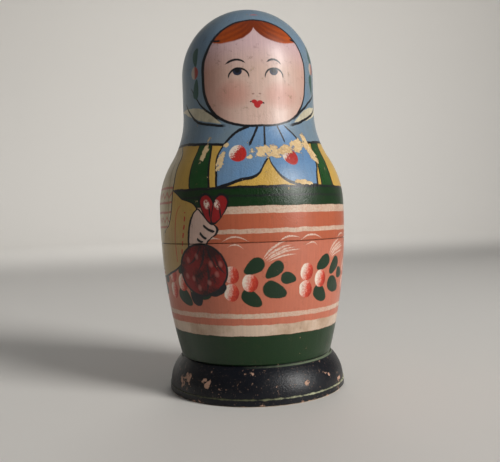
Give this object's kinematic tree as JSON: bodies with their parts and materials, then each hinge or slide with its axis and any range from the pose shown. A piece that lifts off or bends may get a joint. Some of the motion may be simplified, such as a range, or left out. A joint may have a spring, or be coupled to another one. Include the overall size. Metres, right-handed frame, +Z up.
{
  "type": "matryoshka nesting doll",
  "caption": "Turned and painted wooden nesting doll with a flared plinth; each hollow doll parts at the waist and holds the next smaller one.",
  "frame": {"origin": "middle of the outer doll's base, on the surface that it stands on", "axes": "+Z up along the axis that every doll is turned about; the painted faces look along -Y"},
  "size_m": [0.0888, 0.0888, 0.18],
  "materials": {
    "scarf_blue_paint": "hand painted and lacquered, bare wood inside",
    "scarf_red_paint": "hand painted and lacquered, bare wood inside",
    "scarf_ochre_paint": "hand painted and lacquered, bare wood inside",
    "skirt_coral_paint": "hand painted and lacquered, bare wood inside",
    "skirt_green_paint": "hand painted and lacquered, bare wood inside",
    "skirt_blue_paint": "hand painted and lacquered, bare wood inside"
  },
  "bodies": {
    "doll_1_lower": {"doll_1_lower": "skirt_coral_paint"},
    "doll_2_lower": {"doll_2_lower": "skirt_green_paint"},
    "doll_3_lower": {"doll_3_lower": "skirt_blue_paint"},
    "doll_4_lower": {"doll_4_lower": "skirt_coral_paint"},
    "doll_5_lower": {"doll_5_lower": "skirt_green_paint"},
    "doll_6_lower": {"doll_6_lower": "skirt_blue_paint"},
    "doll_7_lower": {"doll_7_lower": "skirt_coral_paint"},
    "doll_8_lower": {"doll_8_lower": "skirt_green_paint"},
    "doll_9_lower": {"doll_9_lower": "skirt_blue_paint"},
    "doll_10_solid": {"doll_10_solid": "scarf_blue_paint"},
    "doll_1_upper": {"doll_1_upper": "scarf_blue_paint"},
    "doll_2_upper": {"doll_2_upper": "scarf_red_paint"},
    "doll_3_upper": {"doll_3_upper": "scarf_ochre_paint"},
    "doll_4_upper": {"doll_4_upper": "scarf_blue_paint"},
    "doll_5_upper": {"doll_5_upper": "scarf_red_paint"},
    "doll_6_upper": {"doll_6_upper": "scarf_ochre_paint"},
    "doll_7_upper": {"doll_7_upper": "scarf_blue_paint"},
    "doll_8_upper": {"doll_8_upper": "scarf_red_paint"},
    "doll_9_upper": {"doll_9_upper": "scarf_ochre_paint"}
  },
  "joints": [
    {"name": "doll_2_take_out", "type": "slide", "parent": "doll_1_lower", "child": "doll_2_lower", "axis": [0, 0, 1], "range_m": [0, 0.072]},
    {"name": "doll_3_take_out", "type": "slide", "parent": "doll_2_lower", "child": "doll_3_lower", "axis": [0, 0, 1], "range_m": [0, 0.06]},
    {"name": "doll_4_take_out", "type": "slide", "parent": "doll_3_lower", "child": "doll_4_lower", "axis": [0, 0, 1], "range_m": [0, 0.049]},
    {"name": "doll_5_take_out", "type": "slide", "parent": "doll_4_lower", "child": "doll_5_lower", "axis": [0, 0, 1], "range_m": [0, 0.04]},
    {"name": "doll_6_take_out", "type": "slide", "parent": "doll_5_lower", "child": "doll_6_lower", "axis": [0, 0, 1], "range_m": [0, 0.033]},
    {"name": "doll_7_take_out", "type": "slide", "parent": "doll_6_lower", "child": "doll_7_lower", "axis": [0, 0, 1], "range_m": [0, 0.027]},
    {"name": "doll_8_take_out", "type": "slide", "parent": "doll_7_lower", "child": "doll_8_lower", "axis": [0, 0, 1], "range_m": [0, 0.022]},
    {"name": "doll_9_take_out", "type": "slide", "parent": "doll_8_lower", "child": "doll_9_lower", "axis": [0, 0, 1], "range_m": [0, 0.017]},
    {"name": "doll_10_take_out", "type": "slide", "parent": "doll_9_lower", "child": "doll_10_solid", "axis": [0, 0, 1], "range_m": [0, 0.014]},
    {"name": "doll_9_open", "type": "slide", "parent": "doll_10_solid", "child": "doll_9_upper", "axis": [0, 0, 1], "range_m": [0, 0.016]},
    {"name": "doll_8_open", "type": "slide", "parent": "doll_9_upper", "child": "doll_8_upper", "axis": [0, 0, 1], "range_m": [0, 0.021]},
    {"name": "doll_7_open", "type": "slide", "parent": "doll_8_upper", "child": "doll_7_upper", "axis": [0, 0, 1], "range_m": [0, 0.027]},
    {"name": "doll_6_open", "type": "slide", "parent": "doll_7_upper", "child": "doll_6_upper", "axis": [0, 0, 1], "range_m": [0, 0.034]},
    {"name": "doll_5_open", "type": "slide", "parent": "doll_6_upper", "child": "doll_5_upper", "axis": [0, 0, 1], "range_m": [0, 0.042]},
    {"name": "doll_4_open", "type": "slide", "parent": "doll_5_upper", "child": "doll_4_upper", "axis": [0, 0, 1], "range_m": [0, 0.052]},
    {"name": "doll_3_open", "type": "slide", "parent": "doll_4_upper", "child": "doll_3_upper", "axis": [0, 0, 1], "range_m": [0, 0.064]},
    {"name": "doll_2_open", "type": "slide", "parent": "doll_3_upper", "child": "doll_2_upper", "axis": [0, 0, 1], "range_m": [0, 0.078]},
    {"name": "doll_1_open", "type": "slide", "parent": "doll_2_upper", "child": "doll_1_upper", "axis": [0, 0, 1], "range_m": [0, 0.095]}
  ]
}
